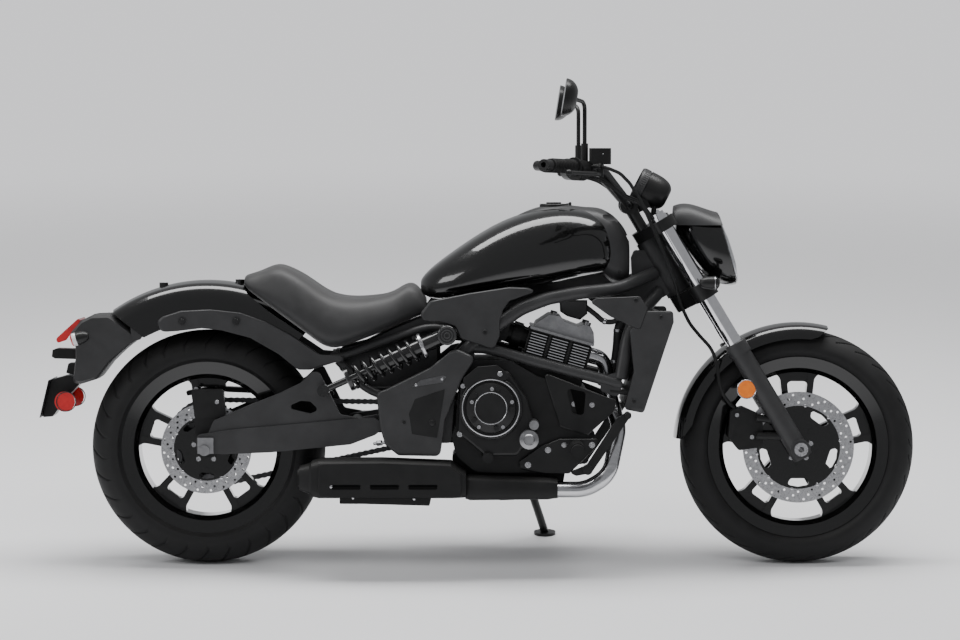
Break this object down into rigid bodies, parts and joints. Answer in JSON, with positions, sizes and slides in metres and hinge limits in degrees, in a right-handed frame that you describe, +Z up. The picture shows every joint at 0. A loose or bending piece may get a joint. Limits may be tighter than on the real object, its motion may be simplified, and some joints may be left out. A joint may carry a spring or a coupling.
{
  "type": "cruiser motorcycle",
  "caption": "Mid-size twin-cylinder cruiser motorcycle leaning on its side stand, with turning wheels, steering, stand and fuel cap.",
  "frame": {"origin": "centre of the parked machine's box, on the floor", "axes": "+X forward, +Y to the rider's left, +Z up from the floor; the machine leans 8 degrees towards +Y"},
  "size_m": [2.3308, 0.9208, 1.3227],
  "materials": {
    "gloss_black": "gloss black paint",
    "satin_grey": "satin dark grey",
    "engine_black": "satin black engine paint",
    "matte_black": "matte black",
    "bare_alloy": "satin alloy",
    "bright_steel": "polished steel",
    "seat_vinyl": "grained vinyl",
    "rubber_black": "moulded rubber",
    "tyre_rubber": "tyre rubber",
    "red_lens": "clear red moulding",
    "clear_lens": "clear moulding",
    "mirror": "mirror"
  },
  "bodies": {
    "frame": {"main_frame": "satin_grey", "swingarm": "satin_grey", "rear_axle": "bare_alloy", "rear_caliper": "engine_black", "drive_chain": "bright_steel", "chain_guard": "matte_black", "crankcase": "engine_black", "engine_covers": "engine_black", "engine_fittings": "bare_alloy", "cylinders": "engine_black", "head_cover": "bare_alloy", "intake": "engine_black", "radiator": "engine_black", "radiator_shrouds": "matte_black", "shroud_covers": "satin_grey", "exhaust_headers": "bright_steel", "muffler": "matte_black", "fuel_tank": "gloss_black", "tank_trim": "satin_grey", "seat": "seat_vinyl", "battery_case": "matte_black", "rear_mudguard": "gloss_black", "mudguard_rails": "satin_grey", "tail_cowl": "matte_black", "tail_lenses": "red_lens", "rear_lamps": "matte_black", "upper_side_covers": "satin_grey", "lower_side_covers": "satin_grey", "shock_absorber": "bright_steel", "shock_spring": "bright_steel", "foot_brackets": "matte_black", "footpegs": "rubber_black"},
    "steering": {"fork_tubes": "bright_steel", "fork_lowers": "satin_grey", "triple_clamps": "satin_grey", "handlebar": "satin_grey", "grips": "rubber_black", "bar_controls": "matte_black", "mirrors": "matte_black", "mirror_glass": "mirror", "instrument": "matte_black", "headlight_shell": "gloss_black", "headlight_visor": "satin_grey", "headlight_lens": "clear_lens", "front_mudguard": "gloss_black", "front_lamps": "matte_black", "front_caliper": "engine_black", "front_brake_hose": "rubber_black", "front_axle": "bright_steel"},
    "front_wheel": {"front_rim": "gloss_black", "front_tyre": "tyre_rubber", "front_disc": "bright_steel"},
    "rear_wheel": {"rear_rim": "gloss_black", "rear_tyre": "tyre_rubber", "rear_disc": "bright_steel", "rear_sprocket": "bright_steel"},
    "side_stand": {"side_stand": "engine_black"},
    "fuel_cap": {"fuel_cap": "bare_alloy"}
  },
  "joints": [
    {"name": "steering_turn", "type": "hinge", "parent": "frame", "child": "steering", "pos_m": [0.44462, -0.02555, 0.87123], "axis": [-0.515, 0.1193, 0.8488], "range_deg": [-35, 35]},
    {"name": "front_wheel_spin", "type": "hinge", "parent": "steering", "child": "front_wheel", "pos_m": [0.85288, -0.10442, 0.31007], "axis": [0, 0.9903, -0.1392], "continuous": true},
    {"name": "rear_wheel_spin", "type": "hinge", "parent": "frame", "child": "rear_wheel", "pos_m": [-0.72212, -0.10446, 0.3098], "axis": [0, 0.9903, -0.1392], "continuous": true},
    {"name": "side_stand_fold", "type": "hinge", "parent": "frame", "child": "side_stand", "pos_m": [0.12788, 0.05362, 0.19872], "axis": [0.1402, 0.8626, 0.486], "range_deg": [0, 92]},
    {"name": "fuel_cap_lift", "type": "hinge", "parent": "frame", "child": "fuel_cap", "pos_m": [0.2453, -0.01408, 0.95284], "axis": [0, 0.9903, -0.1392], "range_deg": [0, 95]}
  ]
}
